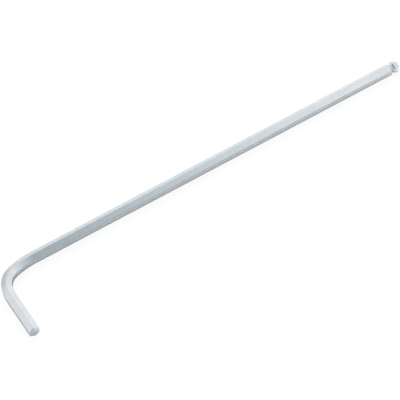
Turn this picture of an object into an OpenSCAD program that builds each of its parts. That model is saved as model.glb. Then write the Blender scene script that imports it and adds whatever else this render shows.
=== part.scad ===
// Long hexagon key, bent at a right angle, with a ball end.
// It lies on a table: the long arm runs along +X, the short arm points to -Y, and +Z is up.
// The origin is under the middle of its bounding box, on the table.

/* [Hexagon bar] */
// Size across the flats of the bar, which is the size of the key
flats = 3; // [2.8:0.05:4]
// How much is trimmed off each long corner, measured from the sharp corner
corner_trim = 0.03; // [0.01:0.01:0.08]

/* [Arms and bend] */
// Overall length along the long arm, from the short arm's outer flat to the ball's tip
long_length = 129; // [80:1:180]
// Overall length along the short arm, from the long arm's outer flat to the end face
short_length = 23; // [16:0.5:40]
// Radius of the bend's tight middle, at the middle of the bar
bend_radius = 6; // [5:0.5:9]
// Radius of the easier curve between the long arm and the tight middle
long_ease_radius = 24; // [14:1:30]
// Radius of the easier curve between the tight middle and the short arm
short_ease_radius = 12; // [9:0.5:16]
// Width of the small bevel round the short arm's end face
end_bevel = 0.15; // [0.05:0.05:0.4]

/* [Ball] */
// From the ball's tip back to its widest place
ball_front = 1.55; // [1.3:0.05:1.9]
// From the widest place back to the neck
ball_back = 1.1; // [0.9:0.05:1.3]
// Size that the ball's flats would have at the tip, if the nose didn't cut them short
tip_flats = 1.75; // [1.5:0.05:2.1]
// Radius of the small round face on the tip
tip_face_r = 0.3; // [0.2:0.05:0.6]
// Angle between the turned nose and the key's axis
nose_angle = 60; // [50:1:68]

/* [Neck] */
// Diameter of the turned neck behind the ball
neck_d = 2.1; // [1.6:0.05:2.2]
// Length of the straight part of the neck
neck_length = 0.15; // [0.1:0.05:0.6]
// Length of the sloping shoulder between the neck and the full hexagon
shoulder_length = 0.35; // [0.2:0.05:0.8]

/* [Hidden] */
$fn = 96;

flat_r = flats / 2;
sharp_r = flats / sqrt(3);
corner_r = sharp_r - corner_trim;
neck_r = neck_d / 2;

// The corner is where the two arms' middle lines would meet
corner_x = flat_r - long_length / 2;
corner_y = short_length / 2 - flat_r;
ball_x = long_length - flat_r - ball_front;
arm_end_x = ball_x - ball_back - neck_length - shoulder_length;
short_end = short_length - flat_r;

// Directions from the arcs' centres to where they meet. Each easier curve turns the bar by the small
// angle of a triangle with sides 7, 24 and 25, so that its sine and cosine are whole hundredths.
long_join = [-0.28, 0.96];
short_join = [-0.96, 0.28];

// Centres of the bend's three arcs
to_tight = (long_ease_radius - bend_radius) * long_join;
to_short = (bend_radius - short_ease_radius) * short_join;
long_centre = [short_ease_radius - to_tight.x - to_short.x, -long_ease_radius];
tight_centre = long_centre + to_tight;
short_centre = tight_centre + to_short;

tip_corner_r = tip_flats / sqrt(3) - corner_trim;
neck_corner_r = neck_d / sqrt(3) - corner_trim;

bar_colour = [0.80, 0.83, 0.86];

// Radius of an arc that drops by a given amount over a given length from where it runs level
function arc_radius(length, drop) = (length * length + drop * drop) / (2 * drop);

// The two points that are left where a long corner is trimmed, for a corner at a given angle
function trimmed_corner(turn) = [
    for (side = [-1, 1])
        corner_r * [cos(turn), sin(turn)] + side * corner_trim * sqrt(3) * [-sin(turn), cos(turn)]
];

// Section of the bar, with flats to its left and right and a corner at the top
module hexagon() {
    polygon([for (turn = [30:60:330]) each trimmed_corner(turn)]);
}

// Side view of half a barrel, level at its widest place and curving down to its end
module half_barrel(length, widest, end) {
    arc = arc_radius(length, widest - end);
    intersection() {
        translate([0, widest - arc]) circle(r = arc);
        translate([0, arc - widest]) circle(r = arc);
        translate([0, -2 * widest]) square([length, 4 * widest]);
    }
}

// Gives a solid along X the same side view on each of its three pairs of flats
module on_each_flat() {
    intersection_for(turn = [0, 60, 120]) {
        rotate([turn, 0, 0]) linear_extrude(height = 4 * flats, center = true) children();
    }
}

// Turns a side view round the X axis
module turned() {
    rotate([0, 90, 0]) rotate_extrude() {
        intersection() {
            mirror([1, -1]) children();
            translate([0, -2 * flats]) square([2 * flats, 4 * flats]);
        }
    }
}

// Straight bar from the end of the bend to the shoulder
module long_arm() {
    translate([long_centre.x, 0, 0]) rotate([90, 0, 90])
        linear_extrude(height = arm_end_x - long_centre.x) hexagon();
}

// The part between two directions of a bar that is curved about a centre
module curved_bar(centre, radius, from, to) {
    reach = 2 * radius;
    translate(centre) intersection() {
        rotate([0, 0, 90]) rotate_extrude(angle = 90) translate([radius, 0]) hexagon();
        translate([0, 0, -flats]) linear_extrude(height = 2 * flats)
            polygon([[0, 0], reach * from, reach * (from + to), reach * to]);
    }
}

// Right-angle bend that starts and ends gently
module bend() {
    curved_bar(long_centre, long_ease_radius, [0.6, 0.8], long_join);
    curved_bar(tight_centre, bend_radius, long_join, short_join);
    curved_bar(short_centre, short_ease_radius, short_join, [-0.8, -0.6]);
}

// Straight bar with a bevel along each edge of its end face
module short_arm() {
    half_face = flat_r - end_bevel;
    intersection() {
        translate([0, short_centre.y, 0]) rotate([90, 0, 0])
            linear_extrude(height = short_end + short_centre.y) hexagon();
        rotate([0, 0, -90]) on_each_flat() polygon([
            [0, -flats],
            [short_end - flats + half_face, -flats],
            [short_end, -half_face],
            [short_end, half_face],
            [short_end - flats + half_face, flats],
            [0, flats]
        ]);
    }
}

// Sloping end of the long arm, turned down to the neck
module shoulder() {
    translate([arm_end_x, 0, 0]) intersection() {
        rotate([90, 0, 90]) linear_extrude(height = shoulder_length) hexagon();
        rotate([0, 90, 0]) cylinder(h = shoulder_length, r1 = sharp_r, r2 = neck_r);
    }
}

module neck() {
    neck_start = arm_end_x + shoulder_length / 2;
    translate([neck_start, 0, 0]) rotate([0, 90, 0])
        cylinder(h = ball_x - neck_start, r = neck_r);
}

// Front or back half of the ball: three crossed prisms with curved flats, with their corners turned
module half_ball(length, flat_end, corner_end) {
    intersection() {
        on_each_flat() half_barrel(length, flat_r, flat_end);
        turned() half_barrel(length, corner_r, corner_end);
    }
}

// Barrel with six curved flats, so that the key turns a screw while it is held at a slant
module ball() {
    nose_r = tip_face_r + ball_front * tan(nose_angle);
    translate([ball_x, 0, 0]) {
        intersection() {
            half_ball(ball_front, tip_flats / 2, tip_corner_r);
            rotate([0, 90, 0]) cylinder(h = ball_front, r1 = nose_r, r2 = tip_face_r);
        }
        mirror([1, 0, 0]) half_ball(ball_back, neck_r, neck_corner_r);
    }
}

// Places the middle lines of the bar so that its lower corners touch the table
module lying() {
    translate([corner_x, corner_y, corner_r]) children();
}

module key_bar() {
    color(bar_colour) lying() {
        long_arm();
        bend();
        short_arm();
        shoulder();
        neck();
        ball();
    }
}

key_bar();
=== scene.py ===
"""Long hexagon key with a ball end, lying on a white table.

The key is one section carried along one path: a trimmed hexagon that runs up the short arm, round
the bend and out along the long arm, and is turned down at the far end to a neck and a ball.
"""

import math

import bpy
from mathutils import Matrix, Vector


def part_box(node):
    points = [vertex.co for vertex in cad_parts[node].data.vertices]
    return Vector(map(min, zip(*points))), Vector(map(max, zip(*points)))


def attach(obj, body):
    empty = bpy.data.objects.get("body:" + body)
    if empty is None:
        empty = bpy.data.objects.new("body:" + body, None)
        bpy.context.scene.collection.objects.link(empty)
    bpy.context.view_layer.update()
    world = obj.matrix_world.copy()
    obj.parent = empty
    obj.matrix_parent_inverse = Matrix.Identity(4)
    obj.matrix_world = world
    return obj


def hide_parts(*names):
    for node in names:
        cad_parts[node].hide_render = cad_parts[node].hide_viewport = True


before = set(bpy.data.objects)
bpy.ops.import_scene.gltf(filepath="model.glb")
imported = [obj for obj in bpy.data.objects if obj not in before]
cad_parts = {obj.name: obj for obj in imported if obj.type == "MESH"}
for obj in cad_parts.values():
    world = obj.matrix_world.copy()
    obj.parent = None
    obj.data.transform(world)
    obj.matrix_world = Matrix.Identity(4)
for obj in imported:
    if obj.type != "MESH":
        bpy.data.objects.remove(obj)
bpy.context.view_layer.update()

MM = 0.001

# Hexagon bar
ACROSS_FLATS = 3.0 * MM
CORNER_TRIM = 0.03 * MM
END_BEVEL = 0.15 * MM

# Radii of the bend's three arcs. Each easier one turns by the small angle of a 7-24-25 triangle.
LONG_EASE_RADIUS = 24 * MM
BEND_RADIUS = 6 * MM
SHORT_EASE_RADIUS = 12 * MM
EASE_ANGLE = math.asin(0.28)
TIGHT_ANGLE = math.pi / 2 - 2 * EASE_ANGLE

# The bend's arcs from the long arm to the short one: radius, angle, and steps along it
BEND_ARCS = [
    (LONG_EASE_RADIUS, EASE_ANGLE, 16),
    (BEND_RADIUS, TIGHT_ANGLE, 36),
    (SHORT_EASE_RADIUS, EASE_ANGLE, 10),
]

# Ball, nose and neck, measured back from the tip
BALL_FRONT = 1.55 * MM
BALL_BACK = 1.1 * MM
TIP_FLATS = 1.75 * MM
TIP_FACE_R = 0.3 * MM
NOSE_ANGLE = math.radians(60)
NECK_R = 1.05 * MM
NECK_LENGTH = 0.15 * MM
SHOULDER_LENGTH = 0.35 * MM

# Steps along the parts of the key that aren't arcs
BALL_FRONT_STEPS = 34
BALL_BACK_STEPS = 20
SHOULDER_STEPS = 8
LONG_ARM_STEPS = 24
SHORT_ARM_STEPS = 6
# How far before the neck the ball's last section lies, so that the two don't share a place
NECK_GAP = 0.002 * MM

# Half of the angle that one side of the hexagon takes up
HALF_SIDE = math.radians(30)
# Where points lie across a corner's rounding, and across a flat, both from -1 to 1
CORNER_STEPS = [-1.0, -0.6, -0.2, 0.2, 0.6, 1.0]
FLAT_STEPS = [-0.8, -0.55, -0.28, 0.0, 0.28, 0.55, 0.8]
# How softly the turned shape meets the flats, and the least angle that is drawn as a hard edge
EDGE_SOFTNESS = 0.03 * MM
HARD_EDGE = math.radians(32)

# Places that come from the frame
BAR_LOW, BAR_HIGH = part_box("key_bar")
FLAT_R = ACROSS_FLATS / 2
SHARP_R = ACROSS_FLATS / math.sqrt(3)
CORNER_R = SHARP_R - CORNER_TRIM
AXIS_Y = BAR_HIGH.y - FLAT_R
AXIS_X = BAR_LOW.x + FLAT_R
AXIS_Z = (BAR_LOW.z + BAR_HIGH.z) / 2
TIP_X = BAR_HIGH.x
SHORT_END_Y = BAR_LOW.y

# Camera, as the photograph was taken
CAMERA_AZIMUTH = math.radians(-22.6)
CAMERA_ELEVATION = math.radians(53.5)
CAMERA_LEAN = math.radians(9.5)
CAMERA_DISTANCE = 808.5 * MM
CAMERA_AIM = Vector((-4.87, 1.10, 1.64)) * MM
CAMERA_LENS = 268.5

# The card that stands in for the light tent's dark opening, between the key and the camera
OPENING_DISTANCE = 420 * MM
OPENING_RISE = 105 * MM
OPENING_RADIUS = 500 * MM
OPENING_CORNERS = 64
# The colour that the card fades to below its middle, and where the fade starts and ends
OPENING_FOOT = (0.36, 0.39, 0.405, 1.0)
OPENING_FADE = (50 * MM, 180 * MM)
# The card's colours, each at a distance in metres from its middle
OPENING_SHADES = [
    (0.025, (0.0, 0.0, 0.0)),
    (0.046, (0.36, 0.42, 0.45)),
    (0.115, (0.43, 0.50, 0.53)),
    (0.175, (0.60, 0.67, 0.70)),
    (0.209, (0.76, 0.81, 0.83)),
    (0.260, (0.90, 0.92, 0.935)),
    (0.320, (0.93, 0.94, 0.955)),
    (0.490, (0.80, 0.84, 0.86)),
]

# The tent's wall, and its patches. Each has a direction, the cosines of the angles from it at which the
# patch starts and is full, and a colour.
TENT_WALL = (0.82, 0.845, 0.865, 1)
TENT_BRIGHT = ((0.85, 0.5, 0.1), 0.80, 0.96, (0.95, 0.955, 0.965, 1))
TENT_BEHIND = ((-0.3, 0.93, 0.2), 0.88, 0.985, (0.645, 0.66, 0.69, 1))
TENT_FRONT = ((0.1, -0.98, 0.05), 0.80, 0.97, (0.33, 0.35, 0.37, 1))
WHITE = (1, 1, 1, 1)

# Lamp behind the key, to its right
LAMP_PLACE = (0.12, 0.29, 0.35)
LAMP_SIZE = 0.32
LAMP_POWER = 2.0

# Table: painted light on its grey, which runs from a shaded grey behind on the left to a lit grey in front
# on the right
TABLE_HALF = 4.0
TABLE_SHADED_TONE = (0.55, 0.55, 0.55, 1)
TABLE_LIT_TONE = (0.71, 0.71, 0.71, 1)
TABLE_LIGHT_SLANT = -2.5
TABLE_LIGHT_ENDS = (-130 * MM, 50 * MM)
TABLE_ROUGHNESS = 0.9
# How strongly the table glows, and the share of the glow for the camera and for reflections
TABLE_GLOW = 1.04
GLOW_SHARE = 0.88
MIRRORED_GLOW_SHARE = 0.05
# Painted shade on the table in front of the long arm, which only reflections see. It isn't a real thing:
# it keeps a bright line off the corner between the long arm's middle and lower flats.
DIM_START = (-6.6 * MM, -5.8 * MM)
DIM_LEFT = (-60 * MM, -46 * MM)
DIM_RIGHT = (55 * MM, 59 * MM)
DIM_SHARE = 0.62
DIM_TONE = (0.05, 0.05, 0.05, 1)

# Plating: two tones of its cloudy base, corners darker from wear and from painted shade, and rubs
PLATING_DEEP = (0.765, 0.81, 0.84)
PLATING_PALE = (0.845, 0.86, 0.87)
PLATING_WORN_AND_SHADED = (0.72, 0.74, 0.76)
PLATING_RUBBED = (0.55, 0.60, 0.64)
WORN_AND_SHADED_SHARE = 0.6
RUB_AMOUNT = 0.25
PLATING_ROUGHNESS = 0.13
PLATING_ROUGHNESS_SPREAD = 0.08
CORNER_POLISH = 0.04
PLATING_BUMP = 0.003 * MM

# Cropped end face: two tones, and a coarser grain than the bar's
CROPPED_DEEP = (0.66, 0.70, 0.72)
CROPPED_PALE = (0.76, 0.79, 0.81)
CROPPED_ROUGHNESS = 0.36
CROPPED_ROUGHNESS_SPREAD = 0.16
CROPPED_BUMP = 0.006 * MM


def arc_radius(length, drop):
    """Radius of an arc that drops by a given amount over a given length from where it runs level."""
    return (length * length + drop * drop) / (2 * drop)


def barrel_reach(from_widest, widest, tip, back):
    """Half width of the ball's side view, at a distance in front of its widest place."""
    if from_widest >= 0:
        arc = arc_radius(BALL_FRONT, widest - tip)
    else:
        arc = arc_radius(BALL_BACK, widest - back)
    return widest - arc + math.sqrt(max(arc * arc - from_widest * from_widest, 0))


def ball_sizes(run):
    """Half size across the ball's flats, and how far the turned shape lets its corners reach."""
    from_widest = BALL_FRONT - run
    flats = barrel_reach(from_widest, FLAT_R, TIP_FLATS / 2, NECK_R)
    tip_corner = TIP_FLATS / math.sqrt(3) - CORNER_TRIM
    neck_corner = 2 * NECK_R / math.sqrt(3) - CORNER_TRIM
    corners = barrel_reach(from_widest, CORNER_R, tip_corner, neck_corner)
    nose = TIP_FACE_R + run * math.tan(NOSE_ANGLE)
    return flats, min(corners, nose)


def spread(start, end, count):
    """Evenly spaced values, without the last."""
    return [start + (end - start) * i / count for i in range(count)]


def key_stations(length):
    """Every place along the key where the section is drawn: distance from the tip, half size across
    the flats, and how far out the turned shape lets the section reach."""
    ball_end = BALL_FRONT + BALL_BACK
    stations = []
    ball_front = spread(0.0, BALL_FRONT, BALL_FRONT_STEPS)
    ball_back = spread(BALL_FRONT, ball_end, BALL_BACK_STEPS)
    for run in ball_front + ball_back:
        stations.append((run, *ball_sizes(run)))
    stations.append((ball_end - NECK_GAP, *ball_sizes(ball_end)))
    stations.append((ball_end, FLAT_R, NECK_R))
    shoulder = ball_end + NECK_LENGTH
    for share in spread(0.0, 1.0, SHOULDER_STEPS):
        reach = NECK_R + (SHARP_R - NECK_R) * share
        stations.append((shoulder + SHOULDER_LENGTH * share, FLAT_R, reach))
    arm_start = shoulder + SHOULDER_LENGTH
    arc_start = TIP_X - AXIS_X - bend_legs()[0]
    plain = 2 * FLAT_R
    for run in spread(arm_start, arc_start, LONG_ARM_STEPS):
        stations.append((run, FLAT_R, plain))
    for radius, angle, steps in BEND_ARCS:
        arc_end = arc_start + radius * angle
        for run in spread(arc_start, arc_end, steps):
            stations.append((run, FLAT_R, plain))
        arc_start = arc_end
    for run in spread(arc_start, length - END_BEVEL, SHORT_ARM_STEPS):
        stations.append((run, FLAT_R, plain))
    stations.append((length - END_BEVEL, FLAT_R, plain))
    stations.append((length, FLAT_R - END_BEVEL, plain))
    return stations


def arc_step(radius, turned, angle):
    """From one end of an arc to the other, where the bar has already turned by a given angle."""
    along = math.sin(turned + angle) - math.sin(turned)
    down = math.cos(turned) - math.cos(turned + angle)
    return radius * Vector((-along, -down, 0))


def bend_legs():
    """How far the bend reaches along the long arm and the short arm from where their middles cross."""
    reach = Vector((0, 0, 0))
    turned = 0.0
    for radius, angle, _ in BEND_ARCS:
        reach += arc_step(radius, turned, angle)
        turned += angle
    return -reach.x, -reach.y


def middle_line(run):
    """Point on the middle line of the bar, at a distance from the ball's tip."""
    bend_start = TIP_X - AXIS_X - bend_legs()[0]
    place = Vector((TIP_X - min(run, bend_start), AXIS_Y, AXIS_Z))
    left = max(run - bend_start, 0.0)
    turned = 0.0
    for radius, angle, _ in BEND_ARCS:
        part = min(left / radius, angle)
        place += arc_step(radius, turned, part)
        turned += part
        left -= radius * part
    return place + Vector((0, -left, 0))


def key_length():
    """Length of the middle line from the ball's tip to the short arm's end face."""
    long_leg, short_leg = bend_legs()
    straight = (TIP_X - AXIS_X - long_leg) + (AXIS_Y - short_leg - SHORT_END_Y)
    return straight + sum(radius * angle for radius, angle, _ in BEND_ARCS)


def add_attribute(mesh, name, kind, values):
    """Keeps one value, or one vector, at each point of a mesh."""
    attribute = mesh.attributes.new(name, kind, "POINT")
    field = "vector" if kind == "FLOAT_VECTOR" else "value"
    for place, value in zip(attribute.data, values):
        setattr(place, field, value)


def line_mesh(name, points, closed):
    """A mesh of points joined by edges, which the tree turns into a curve."""
    mesh = bpy.data.meshes.new(name)
    count = len(points)
    edges = [(i, i + 1) for i in range(count - 1)]
    if closed:
        edges.append((count - 1, 0))
    mesh.from_pydata(points, edges, [])
    return mesh


def section_mesh():
    """Hexagon section for flats at a distance of one, with a rounding at each corner."""
    rounding = CORNER_TRIM / (1 / math.cos(HALF_SIDE) - 1) / FLAT_R
    sharp = SHARP_R / FLAT_R
    middle = sharp - rounding / math.cos(HALF_SIDE)
    half_flat = sharp / 2 - rounding * math.sin(HALF_SIDE) / math.cos(HALF_SIDE)
    points = []
    corner_marks = []
    for side in range(6):
        turn = Matrix.Rotation(math.radians(60 * side + 30), 3, "Z")
        for step in CORNER_STEPS:
            angle = HALF_SIDE * step
            place = Vector((middle + rounding * math.cos(angle), rounding * math.sin(angle), 0))
            points.append(turn @ place)
            corner_marks.append(1 - 0.5 * abs(step))
        to_flat = Matrix.Rotation(math.radians(60 * side + 60), 3, "Z")
        for step in FLAT_STEPS:
            points.append(to_flat @ Vector((1.0, half_flat * step, 0)))
            corner_marks.append(max(0.0, abs(step) - 0.6) * 0.8)
    mesh = line_mesh("hexagon_section", points, closed=True)
    add_attribute(mesh, "section_place", "FLOAT_VECTOR", points)
    add_attribute(mesh, "corner_mark", "FLOAT", corner_marks)
    return mesh


def path_mesh():
    """Middle line of the key, with the sizes of the section at each place."""
    stations = key_stations(key_length())
    points = [middle_line(run) for run, _, _ in stations]
    mesh = line_mesh("key_path", points, closed=False)
    add_attribute(mesh, "run", "FLOAT", [run for run, _, _ in stations])
    add_attribute(mesh, "half_flats", "FLOAT", [flats for _, flats, _ in stations])
    add_attribute(mesh, "turned_reach", "FLOAT", [reach for _, _, reach in stations])
    add_attribute(mesh, "middle", "FLOAT_VECTOR", points)
    return mesh


def new_tree(name, inputs):
    """Geometry tree with named inputs and one geometry output."""
    tree = bpy.data.node_groups.new(name, "GeometryNodeTree")
    tree.is_modifier = True
    tree.interface.new_socket("Geometry", in_out="OUTPUT", socket_type="NodeSocketGeometry")
    for label, kind in inputs:
        tree.interface.new_socket(label, in_out="INPUT", socket_type=kind)
    return tree


def read_attribute(tree, name, kind):
    node = tree.nodes.new("GeometryNodeInputNamedAttribute")
    node.data_type = kind
    node.inputs["Name"].default_value = name
    return node.outputs["Attribute"]


def swept_bar_tree():
    """Carries a section along a path, and turns it down wherever the turned shape is the smaller."""
    tree = new_tree("Swept and turned bar", [
        ("Path", "NodeSocketGeometry"),
        ("Section", "NodeSocketObject"),
        ("Edge Softness", "NodeSocketFloat"),
        ("Material", "NodeSocketMaterial"),
    ])
    nodes, link = tree.nodes, tree.links.new
    given = nodes.new("NodeGroupInput")
    result = nodes.new("NodeGroupOutput")

    section = nodes.new("GeometryNodeObjectInfo")
    link(given.outputs["Section"], section.inputs["Object"])
    section_curve = nodes.new("GeometryNodeMeshToCurve")
    link(section.outputs["Geometry"], section_curve.inputs["Mesh"])

    path_curve = nodes.new("GeometryNodeMeshToCurve")
    link(given.outputs["Path"], path_curve.inputs["Mesh"])
    upright = nodes.new("GeometryNodeSetCurveNormal")
    upright.mode = "Z_UP"
    link(path_curve.outputs["Curve"], upright.inputs["Curve"])

    sweep = nodes.new("GeometryNodeCurveToMesh")
    sweep.inputs["Fill Caps"].default_value = True
    link(upright.outputs["Curve"], sweep.inputs["Curve"])
    link(section_curve.outputs["Curve"], sweep.inputs["Profile Curve"])
    link(read_attribute(tree, "half_flats", "FLOAT"), sweep.inputs["Scale"])

    # How far each point lies from the middle line, and how far the turned shape lets it reach
    middle = read_attribute(tree, "middle", "FLOAT_VECTOR")
    place = nodes.new("GeometryNodeInputPosition")
    offset = nodes.new("ShaderNodeVectorMath")
    offset.operation = "SUBTRACT"
    link(place.outputs["Position"], offset.inputs[0])
    link(middle, offset.inputs[1])
    reach = nodes.new("ShaderNodeVectorMath")
    reach.operation = "LENGTH"
    link(offset.outputs["Vector"], reach.inputs[0])
    turned = nodes.new("ShaderNodeMath")
    turned.operation = "SMOOTH_MIN"
    link(reach.outputs["Value"], turned.inputs[0])
    link(read_attribute(tree, "turned_reach", "FLOAT"), turned.inputs[1])
    link(given.outputs["Edge Softness"], turned.inputs[2])
    share = nodes.new("ShaderNodeMath")
    share.operation = "DIVIDE"
    link(turned.outputs["Value"], share.inputs[0])
    link(reach.outputs["Value"], share.inputs[1])
    trimmed = nodes.new("ShaderNodeVectorMath")
    trimmed.operation = "MULTIPLY_ADD"
    link(offset.outputs["Vector"], trimmed.inputs[0])
    link(share.outputs["Value"], trimmed.inputs[1])
    link(middle, trimmed.inputs[2])
    turn_down = nodes.new("GeometryNodeSetPosition")
    link(sweep.outputs["Mesh"], turn_down.inputs["Geometry"])
    link(trimmed.outputs["Vector"], turn_down.inputs["Position"])

    # The same place on a bar that was never bent, for finishes that follow the bar
    across = nodes.new("ShaderNodeVectorMath")
    across.operation = "SCALE"
    link(read_attribute(tree, "section_place", "FLOAT_VECTOR"), across.inputs[0])
    link(read_attribute(tree, "half_flats", "FLOAT"), across.inputs["Scale"])
    across_parts = nodes.new("ShaderNodeSeparateXYZ")
    link(across.outputs["Vector"], across_parts.inputs["Vector"])
    straight = nodes.new("ShaderNodeCombineXYZ")
    link(read_attribute(tree, "run", "FLOAT"), straight.inputs["X"])
    link(across_parts.outputs["X"], straight.inputs["Y"])
    link(across_parts.outputs["Y"], straight.inputs["Z"])
    keep = nodes.new("GeometryNodeStoreNamedAttribute")
    keep.data_type = "FLOAT_VECTOR"
    keep.domain = "POINT"
    keep.inputs["Name"].default_value = "straight_place"
    link(turn_down.outputs["Geometry"], keep.inputs["Geometry"])
    link(straight.outputs["Vector"], keep.inputs["Value"])

    real = nodes.new("GeometryNodeRealizeInstances")
    link(keep.outputs["Geometry"], real.inputs["Geometry"])
    painted = nodes.new("GeometryNodeSetMaterial")
    link(real.outputs["Geometry"], painted.inputs["Geometry"])
    link(given.outputs["Material"], painted.inputs["Material"])
    link(painted.outputs["Geometry"], result.inputs["Geometry"])
    return tree


def grown(name, base_mesh, tree, values, sharp_angle):
    """Runs a tree on a base mesh and gives its result as a plain mesh object."""
    base = bpy.data.objects.new(name + "_base", base_mesh)
    bpy.context.scene.collection.objects.link(base)
    modifier = base.modifiers.new("Build", "NODES")
    modifier.node_group = tree
    sockets = {
        item.name: item.identifier
        for item in tree.interface.items_tree
        if item.in_out == "INPUT"
    }
    for label, value in values.items():
        modifier[sockets[label]] = value
    base.update_tag()
    depsgraph = bpy.context.evaluated_depsgraph_get()
    mesh = bpy.data.meshes.new_from_object(
        base.evaluated_get(depsgraph), preserve_all_data_layers=True, depsgraph=depsgraph
    )
    mesh.name = name
    base.modifiers.remove(modifier)
    bpy.data.objects.remove(base)
    mesh.polygons.foreach_set("use_smooth", [True] * len(mesh.polygons))
    mesh.set_sharp_from_angle(angle=sharp_angle)
    piece = bpy.data.objects.new(name, mesh)
    bpy.context.scene.collection.objects.link(piece)
    return piece


def new_group(name, inputs, outputs):
    """Shader node group with named inputs, each with its usual value, and named outputs."""
    group = bpy.data.node_groups.new(name, "ShaderNodeTree")
    for label, kind, value in inputs:
        socket = group.interface.new_socket(label, in_out="INPUT", socket_type=kind)
        if value is not None:
            socket.default_value = value
    for label, kind in outputs:
        group.interface.new_socket(label, in_out="OUTPUT", socket_type=kind)
    return group


def math_node(tree, operation, first, second):
    """One sum between sockets or plain numbers."""
    node = tree.nodes.new("ShaderNodeMath")
    node.operation = operation
    for slot, value in enumerate((first, second)):
        if isinstance(value, (int, float)):
            node.inputs[slot].default_value = value
        else:
            tree.links.new(value, node.inputs[slot])
    return node.outputs["Value"]


def scaled_place(tree, place, scales):
    node = tree.nodes.new("ShaderNodeVectorMath")
    node.operation = "MULTIPLY"
    tree.links.new(place, node.inputs[0])
    node.inputs[1].default_value = scales
    return node.outputs["Vector"]


def noise_node(tree, place, scale, detail, roughness=0.5):
    node = tree.nodes.new("ShaderNodeTexNoise")
    node.inputs["Scale"].default_value = scale
    node.inputs["Detail"].default_value = detail
    node.inputs["Roughness"].default_value = roughness
    tree.links.new(place, node.inputs["Vector"])
    return node.outputs["Fac"]


def colour_node(tree, share, first, second):
    """Colour between two colours, each a socket or a plain colour with its alpha."""
    node = tree.nodes.new("ShaderNodeMix")
    node.data_type = "RGBA"
    tree.links.new(share, node.inputs[0])
    for slot, value in ((6, first), (7, second)):
        if isinstance(value, tuple):
            node.inputs[slot].default_value = value
        else:
            tree.links.new(value, node.inputs[slot])
    return node.outputs[2]


def ramp_node(tree, value, low, high):
    """Zero at the low value and one at the high value, with a soft start and end."""
    node = tree.nodes.new("ShaderNodeMapRange")
    node.interpolation_type = "SMOOTHSTEP"
    tree.links.new(value, node.inputs["Value"])
    node.inputs["From Min"].default_value = low
    node.inputs["From Max"].default_value = high
    return node.outputs["Result"]


def drawing_lines_group():
    """Fine lines along the bar, left by the die that it was drawn through."""
    group = new_group(
        "Drawing lines",
        [("Place", "NodeSocketVector", None), ("Depth", "NodeSocketFloat", 1.0)],
        [("Height", "NodeSocketFloat"), ("Shade", "NodeSocketFloat")],
    )
    given = group.nodes.new("NodeGroupInput")
    result = group.nodes.new("NodeGroupOutput")
    place = given.outputs["Place"]
    fine = noise_node(group, scaled_place(group, place, (60, 9000, 9000)), 1.0, 3.0)
    broad = noise_node(group, scaled_place(group, place, (80, 1900, 1900)), 1.0, 2.0)
    fine_part = math_node(group, "MULTIPLY", fine, 0.6)
    broad_part = math_node(group, "MULTIPLY", broad, 0.4)
    both = math_node(group, "ADD", fine_part, broad_part)
    centred = math_node(group, "SUBTRACT", both, 0.5)
    height = math_node(group, "MULTIPLY", centred, given.outputs["Depth"])
    group.links.new(height, result.inputs["Height"])
    group.links.new(both, result.inputs["Shade"])
    return group


def plating_mottle_group():
    """Satin plating: a very fine even grain, and a faint cloudiness over a few millimetres."""
    group = new_group(
        "Plating mottle",
        [("Place", "NodeSocketVector", None), ("Grain", "NodeSocketFloat", 1.0)],
        [("Height", "NodeSocketFloat"), ("Cloud", "NodeSocketFloat")],
    )
    given = group.nodes.new("NodeGroupInput")
    result = group.nodes.new("NodeGroupOutput")
    grain = noise_node(group, given.outputs["Place"], 14000.0, 2.0)
    cloud = noise_node(group, given.outputs["Place"], 420.0, 3.0, 0.6)
    centred = math_node(group, "SUBTRACT", grain, 0.5)
    height = math_node(group, "MULTIPLY", centred, given.outputs["Grain"])
    group.links.new(height, result.inputs["Height"])
    group.links.new(cloud, result.inputs["Cloud"])
    return group


def handling_marks_group():
    """Sparse small rubs and nicks from use."""
    group = new_group(
        "Handling marks",
        [("Place", "NodeSocketVector", None), ("Amount", "NodeSocketFloat", 0.5)],
        [("Mask", "NodeSocketFloat")],
    )
    given = group.nodes.new("NodeGroupInput")
    result = group.nodes.new("NodeGroupOutput")
    spots = noise_node(group, scaled_place(group, given.outputs["Place"], (700, 1300, 1300)), 1.0, 4.0, 0.7)
    where = ramp_node(group, spots, 0.68, 0.77)
    mask = math_node(group, "MULTIPLY", where, given.outputs["Amount"])
    group.links.new(mask, result.inputs["Mask"])
    return group


GROUPS = {
    "lines": drawing_lines_group(),
    "mottle": plating_mottle_group(),
    "marks": handling_marks_group(),
}


class Finish:
    """One material: its nodes, and short ways to add the shared groups to it."""

    def __init__(self, name):
        self.material = bpy.data.materials.new(name)
        self.material.use_nodes = True
        self.tree = self.material.node_tree
        self.surface = self.tree.nodes["Principled BSDF"]

    def attribute(self, name, output):
        node = self.tree.nodes.new("ShaderNodeAttribute")
        node.attribute_name = name
        return node.outputs[output]

    def object_place(self):
        return self.tree.nodes.new("ShaderNodeTexCoord").outputs["Object"]

    def group(self, key, place, **values):
        node = self.tree.nodes.new("ShaderNodeGroup")
        node.node_tree = GROUPS[key]
        self.tree.links.new(place, node.inputs["Place"])
        for label, value in values.items():
            node.inputs[label].default_value = value
        return node

    def mix(self, share, first, second):
        """Colour between two colours, given without their alpha."""
        first, second = (
            (*value, 1.0) if isinstance(value, tuple) else value for value in (first, second)
        )
        return colour_node(self.tree, share, first, second)

    def bump(self, height, distance):
        node = self.tree.nodes.new("ShaderNodeBump")
        node.inputs["Distance"].default_value = distance
        self.tree.links.new(height, node.inputs["Height"])
        self.tree.links.new(node.outputs["Normal"], self.surface.inputs["Normal"])

    def feed(self, socket, label):
        self.tree.links.new(socket, self.surface.inputs[label])


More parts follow.
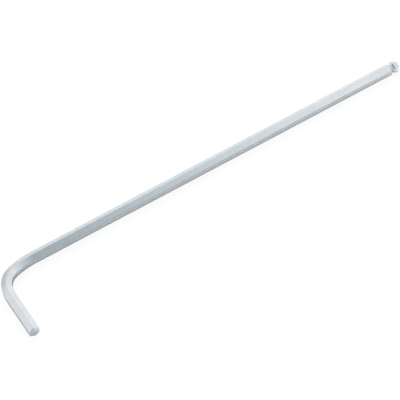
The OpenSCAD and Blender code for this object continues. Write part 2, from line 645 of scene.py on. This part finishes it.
def satin_plating():
    """Pale satin plating on the drawn bar, with its lines along the bar and softly worn corners, darker
    partly from wear and partly from painted shade that keeps a bright reflection off them.
    """
    finish = Finish("satin_plating")
    tree = finish.tree
    place = finish.attribute("straight_place", "Vector")
    lines = finish.group("lines", place, Depth=1.0)
    mottle = finish.group("mottle", place, Grain=1.0)
    marks = finish.group("marks", place, Amount=RUB_AMOUNT)
    corner = ramp_node(tree, finish.attribute("corner_mark", "Fac"), 0.35, 0.9)

    line_part = math_node(tree, "MULTIPLY", lines.outputs["Shade"], 0.5)
    cloud_part = math_node(tree, "MULTIPLY", mottle.outputs["Cloud"], 0.5)
    tone = math_node(tree, "ADD", line_part, cloud_part)
    base = finish.mix(ramp_node(tree, tone, 0.38, 0.62), PLATING_DEEP, PLATING_PALE)
    # Corners darker: partly wear, partly painted shade that dims their bright reflected line
    worn_and_shaded = finish.mix(math_node(tree, "MULTIPLY", corner, WORN_AND_SHADED_SHARE), base, PLATING_WORN_AND_SHADED)
    marked = finish.mix(marks.outputs["Mask"], worn_and_shaded, PLATING_RUBBED)
    finish.feed(marked, "Base Color")

    rise = math_node(tree, "MULTIPLY", tone, PLATING_ROUGHNESS_SPREAD)
    polish = math_node(tree, "MULTIPLY", corner, CORNER_POLISH)
    rough = math_node(tree, "SUBTRACT", math_node(tree, "ADD", PLATING_ROUGHNESS, rise), polish)
    finish.feed(rough, "Roughness")
    height = math_node(tree, "ADD", lines.outputs["Height"], mottle.outputs["Height"])
    finish.bump(height, PLATING_BUMP)
    finish.surface.inputs["Metallic"].default_value = 1.0
    return finish.material


def cropped_end():
    """The same plating over the short arm's end face, coarser where the bar was cropped."""
    finish = Finish("plated_cropped_end")
    tree = finish.tree
    place = finish.object_place()
    mottle = finish.group("mottle", place, Grain=2.5)
    across = finish.group("lines", scaled_place(tree, place, (0.3, 1.0, 0.25)), Depth=2.0)
    cloud = mottle.outputs["Cloud"]
    base = finish.mix(ramp_node(tree, cloud, 0.35, 0.65), CROPPED_DEEP, CROPPED_PALE)
    finish.feed(base, "Base Color")
    rise = math_node(tree, "MULTIPLY", cloud, CROPPED_ROUGHNESS_SPREAD)
    finish.feed(math_node(tree, "ADD", CROPPED_ROUGHNESS, rise), "Roughness")
    height = math_node(tree, "ADD", across.outputs["Height"], mottle.outputs["Height"])
    finish.bump(height, CROPPED_BUMP)
    finish.surface.inputs["Metallic"].default_value = 1.0
    return finish.material


def make_key_bar():
    section = bpy.data.objects.new("hexagon_section", section_mesh())
    bpy.context.scene.collection.objects.link(section)
    bar = grown("hex_key_bar", path_mesh(), swept_bar_tree(), {
        "Section": section,
        "Edge Softness": EDGE_SOFTNESS,
        "Material": satin_plating(),
    }, HARD_EDGE)
    bpy.data.objects.remove(section)
    bar.data.materials.append(cropped_end())
    for face in bar.data.polygons:
        if len(face.vertices) > 4 and face.center.y < SHORT_END_Y + END_BEVEL:
            face.material_index = 1
    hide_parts("key_bar")
    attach(bar, "root")


def table_grey_with_painted_light(tree, seen):
    """The table's grey with a painted light slant across it, and the painted shade that only reflections
    see.
    """
    place = tree.nodes.new("ShaderNodeSeparateXYZ")
    tree.links.new(tree.nodes.new("ShaderNodeTexCoord").outputs["Object"], place.inputs["Vector"])
    along, behind = place.outputs["X"], place.outputs["Y"]
    slant = math_node(tree, "ADD", along, math_node(tree, "MULTIPLY", behind, TABLE_LIGHT_SLANT))
    # Painted light: the grey is darker behind on the left and lighter in front on the right
    tone = colour_node(tree, ramp_node(tree, slant, *TABLE_LIGHT_ENDS), TABLE_SHADED_TONE, TABLE_LIT_TONE)
    # Painted shade: a dim patch in front of the long arm, seen only by reflections
    ahead = math_node(tree, "MULTIPLY", behind, -1.0)
    dim = math_node(tree, "MULTIPLY", ramp_node(tree, ahead, *DIM_START), ramp_node(tree, along, *DIM_LEFT))
    before_ball = math_node(tree, "SUBTRACT", 1.0, ramp_node(tree, along, *DIM_RIGHT))
    dim = math_node(tree, "MULTIPLY", dim, before_ball)
    dim = math_node(tree, "MULTIPLY", dim, seen.outputs["Is Glossy Ray"])
    return colour_node(tree, math_node(tree, "MULTIPLY", dim, DIM_SHARE), tone, DIM_TONE)


def make_floor():
    """White table, which keeps the key's soft shadow."""
    mesh = bpy.data.meshes.new("table_top")
    half = TABLE_HALF
    corners = [(-half, -half, 0), (half, -half, 0), (half, half, 0), (-half, half, 0)]
    mesh.from_pydata(corners, [], [(0, 1, 2, 3)])
    floor = bpy.data.objects.new("table_top", mesh)
    bpy.context.scene.collection.objects.link(floor)
    material = bpy.data.materials.new("white_table")
    material.use_nodes = True
    tree = material.node_tree
    cloth = tree.nodes["Principled BSDF"]
    seen = tree.nodes.new("ShaderNodeLightPath")
    tree.links.new(table_grey_with_painted_light(tree, seen), cloth.inputs["Base Color"])
    cloth.inputs["Roughness"].default_value = TABLE_ROUGHNESS
    glow = tree.nodes.new("ShaderNodeEmission")
    glow.inputs["Color"].default_value = WHITE
    glow.inputs["Strength"].default_value = TABLE_GLOW
    blend = tree.nodes.new("ShaderNodeMixShader")
    direct = math_node(tree, "MULTIPLY", seen.outputs["Is Camera Ray"], GLOW_SHARE)
    mirrored = math_node(tree, "MULTIPLY", seen.outputs["Is Glossy Ray"], MIRRORED_GLOW_SHARE)
    tree.links.new(math_node(tree, "ADD", direct, mirrored), blend.inputs["Fac"])
    tree.links.new(cloth.outputs["BSDF"], blend.inputs[1])
    tree.links.new(glow.outputs["Emission"], blend.inputs[2])
    tree.links.new(blend.outputs["Shader"], tree.nodes["Material Output"].inputs["Surface"])
    floor.data.materials.append(material)


def camera_direction():
    """From the object towards the camera."""
    level = math.cos(CAMERA_ELEVATION)
    return Vector((
        math.sin(CAMERA_AZIMUTH) * level,
        -math.cos(CAMERA_AZIMUTH) * level,
        math.sin(CAMERA_ELEVATION),
    ))


def make_camera():
    camera = bpy.data.objects.new("camera", bpy.data.cameras.new("camera"))
    bpy.context.scene.collection.objects.link(camera)
    camera.data.sensor_width = 36.0
    camera.data.lens = CAMERA_LENS
    camera.data.clip_start = 0.01
    camera.data.clip_end = 20.0
    back = camera_direction()
    camera.location = CAMERA_AIM + back * CAMERA_DISTANCE
    level_view = (-back).to_track_quat("-Z", "Y").to_matrix()
    lean = Matrix.Rotation(-CAMERA_LEAN, 3, "Z")
    camera.rotation_euler = (level_view @ lean).to_euler()
    bpy.context.scene.camera = camera


def make_lamp(name, place, size, power):
    lamp = bpy.data.objects.new(name, bpy.data.lights.new(name, "AREA"))
    bpy.context.scene.collection.objects.link(lamp)
    lamp.data.shape = "DISK"
    lamp.data.size = size
    lamp.data.energy = power
    lamp.location = place
    lamp.rotation_euler = (-Vector(place)).to_track_quat("-Z", "Y").to_euler()
    return lamp


def make_opening():
    """The dark opening of the light tent, as a card. Only the metal's reflections show it."""
    ring = []
    for corner in range(OPENING_CORNERS):
        angle = 2 * math.pi * corner / OPENING_CORNERS
        ring.append((OPENING_RADIUS * math.cos(angle), OPENING_RADIUS * math.sin(angle), 0))
    mesh = bpy.data.meshes.new("tent_opening")
    mesh.from_pydata(ring, [], [tuple(range(OPENING_CORNERS))])
    opening = bpy.data.objects.new("tent_opening", mesh)
    bpy.context.scene.collection.objects.link(opening)
    back = camera_direction()
    turned = back.to_track_quat("Z", "Y")
    opening.location = CAMERA_AIM + back * OPENING_DISTANCE + turned @ Vector((0, OPENING_RISE, 0))
    opening.rotation_euler = turned.to_euler()
    material = bpy.data.materials.new("dark_opening")
    material.use_nodes = True
    tree = material.node_tree
    tree.nodes.remove(tree.nodes["Principled BSDF"])
    place = tree.nodes.new("ShaderNodeTexCoord").outputs["Object"]
    from_middle = tree.nodes.new("ShaderNodeVectorMath")
    from_middle.operation = "LENGTH"
    tree.links.new(place, from_middle.inputs[0])
    ramp = tree.nodes.new("ShaderNodeValToRGB")
    out_share = math_node(tree, "DIVIDE", from_middle.outputs["Value"], OPENING_RADIUS)
    tree.links.new(out_share, ramp.inputs["Fac"])
    stops = ramp.color_ramp.elements
    while len(stops) < len(OPENING_SHADES):
        stops.new(1.0)
    for stop, (distance, shade) in zip(stops, OPENING_SHADES):
        stop.position = distance / OPENING_RADIUS
        stop.color = (*shade, 1.0)
    place_parts = tree.nodes.new("ShaderNodeSeparateXYZ")
    tree.links.new(place, place_parts.inputs["Vector"])
    below = math_node(tree, "MULTIPLY", place_parts.outputs["Y"], -1.0)
    fade = ramp_node(tree, below, *OPENING_FADE)
    glow = tree.nodes.new("ShaderNodeEmission")
    shade = colour_node(tree, fade, ramp.outputs["Color"], OPENING_FOOT)
    tree.links.new(shade, glow.inputs["Color"])
    clear = tree.nodes.new("ShaderNodeBsdfTransparent")
    seen = tree.nodes.new("ShaderNodeLightPath")
    blend = tree.nodes.new("ShaderNodeMixShader")
    tree.links.new(seen.outputs["Is Glossy Ray"], blend.inputs["Fac"])
    tree.links.new(clear.outputs["BSDF"], blend.inputs[1])
    tree.links.new(glow.outputs["Emission"], blend.inputs[2])
    tree.links.new(blend.outputs["Shader"], tree.nodes["Material Output"].inputs["Surface"])
    opening.data.materials.append(material)


def make_light():
    """A white light tent, brightest low on its right, dimmer low behind and darkest low in front, with
    a soft lamp behind the key."""
    world = bpy.data.worlds.new("light_tent")
    bpy.context.scene.world = world
    world.use_nodes = True
    tree = world.node_tree
    background = tree.nodes["Background"]
    direction = tree.nodes.new("ShaderNodeTexCoord").outputs["Generated"]
    wall = TENT_WALL
    for way, low, high, colour in (TENT_BRIGHT, TENT_BEHIND, TENT_FRONT):
        toward = tree.nodes.new("ShaderNodeVectorMath")
        toward.operation = "DOT_PRODUCT"
        tree.links.new(direction, toward.inputs[0])
        toward.inputs[1].default_value = Vector(way).normalized()
        wall = colour_node(tree, ramp_node(tree, toward.outputs["Value"], low, high), wall, colour)
    seen = tree.nodes.new("ShaderNodeLightPath")
    wall = colour_node(tree, seen.outputs["Is Camera Ray"], wall, WHITE)
    tree.links.new(wall, background.inputs["Color"])
    background.inputs["Strength"].default_value = 1.0
    lamp = make_lamp("soft_back_lamp", LAMP_PLACE, LAMP_SIZE, LAMP_POWER)
    lamp.visible_glossy = False


make_camera()
make_light()
make_opening()
make_floor()
make_key_bar()
bpy.context.scene.view_settings.view_transform = "Standard"
